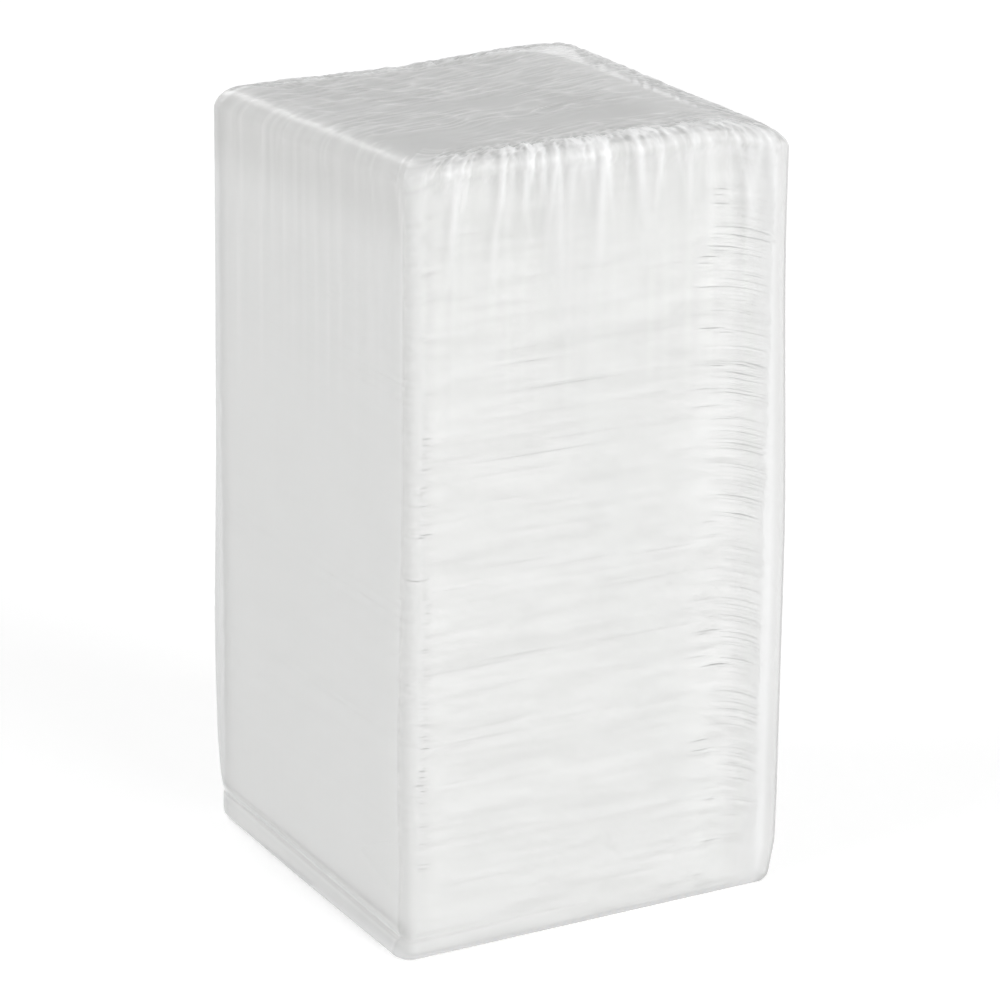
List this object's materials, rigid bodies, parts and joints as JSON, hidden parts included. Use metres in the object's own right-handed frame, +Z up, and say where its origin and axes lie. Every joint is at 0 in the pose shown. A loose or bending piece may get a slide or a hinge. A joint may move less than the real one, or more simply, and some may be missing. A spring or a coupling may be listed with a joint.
{
  "type": "napkin pack",
  "caption": "Tall square stack of white quarter-folded paper napkins in clear shrink film, gathered round the top edge and sagging along the free edges.",
  "frame": {"origin": "middle of the base on the surface that the pack stands on", "axes": "+Z up the stack; -Y out of the front, where the napkins' free edges show; +X towards the free edges that sag, -X towards the last folds"},
  "size_m": [0.1308, 0.1282, 0.2401],
  "materials": {
    "film": "clear, glossy, finely wrinkled",
    "paper": "soft matte embossed tissue"
  },
  "bodies": {
    "root": {"film_wrap": "film", "napkins_01": "paper", "napkins_02": "paper", "napkins_03": "paper", "napkins_04": "paper", "napkins_05": "paper", "napkins_06": "paper", "napkins_07": "paper", "napkins_08": "paper", "napkins_09": "paper", "napkins_10": "paper", "napkins_11": "paper", "napkins_12": "paper", "napkins_13": "paper", "napkins_14": "paper", "napkins_15": "paper", "napkins_16": "paper", "napkins_17": "paper", "napkins_18": "paper", "napkins_19": "paper", "napkins_20": "paper", "napkins_21": "paper", "napkins_22": "paper", "napkins_23": "paper", "napkins_24": "paper", "napkins_25": "paper", "napkins_26": "paper", "napkins_27": "paper", "napkins_28": "paper", "napkins_29": "paper", "napkins_30": "paper", "napkins_31": "paper", "napkins_32": "paper", "napkins_33": "paper", "napkins_34": "paper", "napkins_35": "paper", "napkins_36": "paper", "napkins_37": "paper", "napkins_38": "paper", "napkins_39": "paper", "napkins_40": "paper"}
  },
  "joints": []
}
